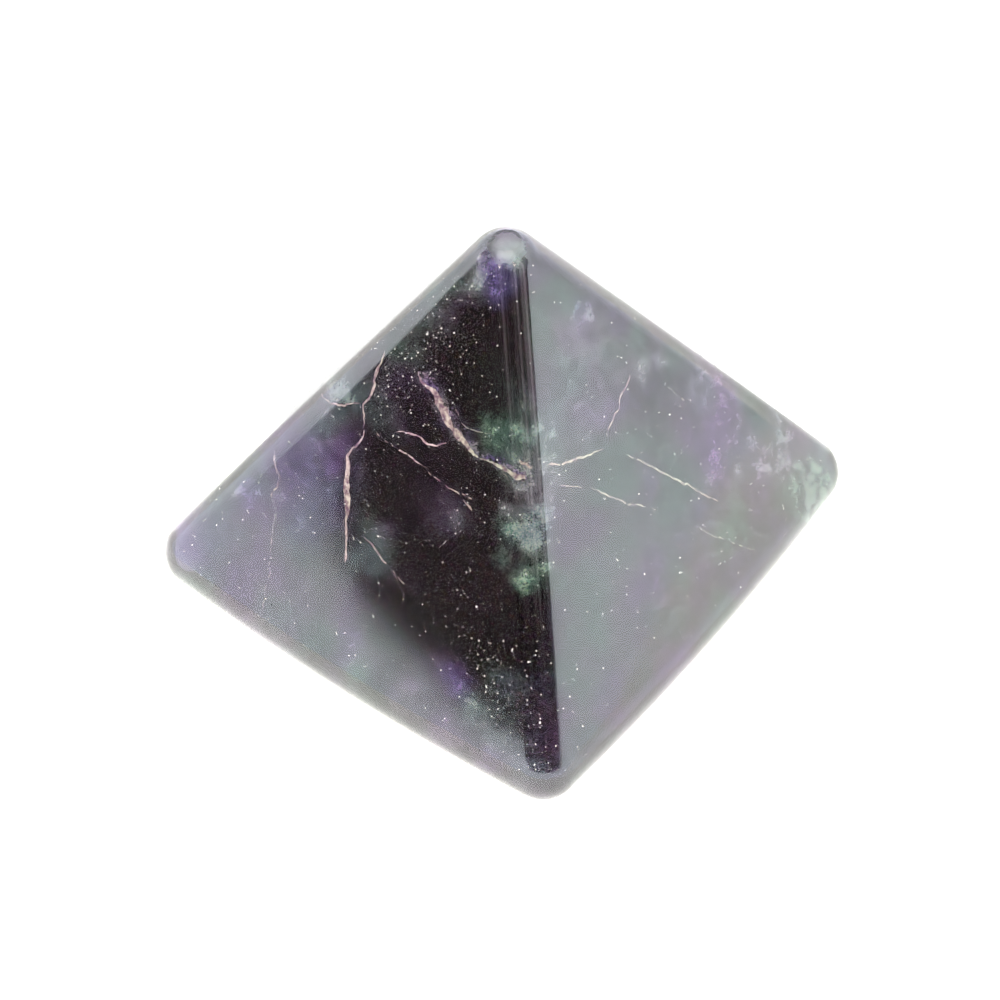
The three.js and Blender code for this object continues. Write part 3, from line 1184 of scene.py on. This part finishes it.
def area_lamp(name, azimuth, elevation, distance, size, glow, colour=(1, 1, 1)):
    """A soft lamp aimed at the stone, from its direction in degrees, its size and its radiance."""
    lamp = bpy.data.lights.new(name, "AREA")
    lamp.shape = "RECTANGLE" if size[0] != size[1] else "DISK"
    lamp.size, lamp.size_y = size
    area = size[0] * size[1] * (1 if lamp.shape == "RECTANGLE" else math.pi / 4)
    lamp.energy = glow * math.pi * area
    lamp.color = colour
    way = way_to(azimuth, elevation)
    stand_facing(name, lamp, way * distance, way)


area_lamp("round soft lamp", 0, 90, 0.8, (0.8, 0.8), ROUND_LAMP_GLOW)
area_lamp("warm strip left", -81, 44, 0.9, (0.06, 0.26), 27, (1, 0.82, 0.74))
area_lamp("warm strip right", -19, 44, 0.9, (0.06, 0.24), 25, (1, 0.78, 0.7))

# ---------------------------------------------------------------------------------------------
# The dark curtain and the room.
# A nearly black curtain hangs behind the camera, with a few upright stripes of painted light as
# on folds that catch light. The room beyond is dim where the stone mirrors it, but plain white where
# the camera sees it straight.
# ---------------------------------------------------------------------------------------------

CURTAIN_RADIUS, CURTAIN_GLOW = 0.7, 0.1
CURTAIN_AZIMUTHS = np.arange(-95, 16, 1.5)
# A painted fold light is (azimuth, width in degrees, light on it, height above which it is lit).
PAINTED_FOLD_LIGHTS = [
    (-90, 4, 0.6, 0.34),
    (-76, 5, 1, 0.34),
    (-63, 2.5, 0.4, 0.34),
    (-36, 5, 0.5, 0.34),
    (-23, 4, 2, 0.34),
    (-4, 4, 2.2, 0.3),
    (6, 5, 3.6, 0.2),
]

curtain_points, curtain_lit = [], []
for height in np.linspace(0.16, 0.75, 19):
    for azimuth in CURTAIN_AZIMUTHS:
        curtain_points.append(round_place(CURTAIN_RADIUS, azimuth, height))
        lit_here = CURTAIN_GLOW
        # Each painted fold light is an upright stripe of glow on the flat curtain.
        for middle, width, light, lowest in PAINTED_FOLD_LIGHTS:
            rise = smooth_share(height, lowest, lowest + 0.14) * smooth_share(-height, -0.75, -0.55)
            lit_here += light * math.exp(-(((azimuth - middle) / width) ** 2)) * rise
        curtain_lit.append(lit_here)
curtain_cloth = glowing_material("dark curtain", (1.0, 0.86, 0.93), 1.0)
lit_sheet("dark_curtain", curtain_points, len(CURTAIN_AZIMUTHS), False, curtain_lit, curtain_cloth)

world = bpy.data.worlds.new("room")
world.use_nodes = True
world.cycles.sampling_method = "NONE"
tree = world.node_tree
tree.nodes.clear()
seen = node(tree, "ShaderNodeLightPath").outputs["Is Camera Ray"]
room = node(tree, "ShaderNodeBackground", Color=(1.0, 0.88, 0.92, 1), Strength=0.2)
backdrop = node(tree, "ShaderNodeBackground", Color=(1, 1, 1, 1), Strength=1.2)
mix = tree.nodes.new("ShaderNodeMixShader")
tree.links.new(seen, mix.inputs[0])
tree.links.new(room.outputs[0], mix.inputs[1])
tree.links.new(backdrop.outputs[0], mix.inputs[2])
node(tree, "ShaderNodeOutputWorld", Surface=mix.outputs[0])
bpy.context.scene.world = world
bpy.context.scene.view_settings.view_transform = "Standard"
bpy.context.scene.cycles.max_bounces = 5
bpy.context.scene.cycles.transmission_bounces = 5

# ---------------------------------------------------------------------------------------------
# The camera.
# It looks down on the corner between the west and south sides through a long close-up lens.
# ---------------------------------------------------------------------------------------------

CAMERA_AZIMUTH, CAMERA_ELEVATION, CAMERA_DISTANCE = -53.07, 49.46, 147 * MM
CAMERA_AIM = Vector((-2.135, -1.204, 5.922)) * MM

lens = bpy.data.cameras.new("camera")
lens.lens = 97.0
lens.clip_start = 0.01
back = way_to(CAMERA_AZIMUTH, CAMERA_ELEVATION)
camera = stand_facing("camera", lens, CAMERA_AIM + back * CAMERA_DISTANCE, back)
bpy.context.scene.camera = camera
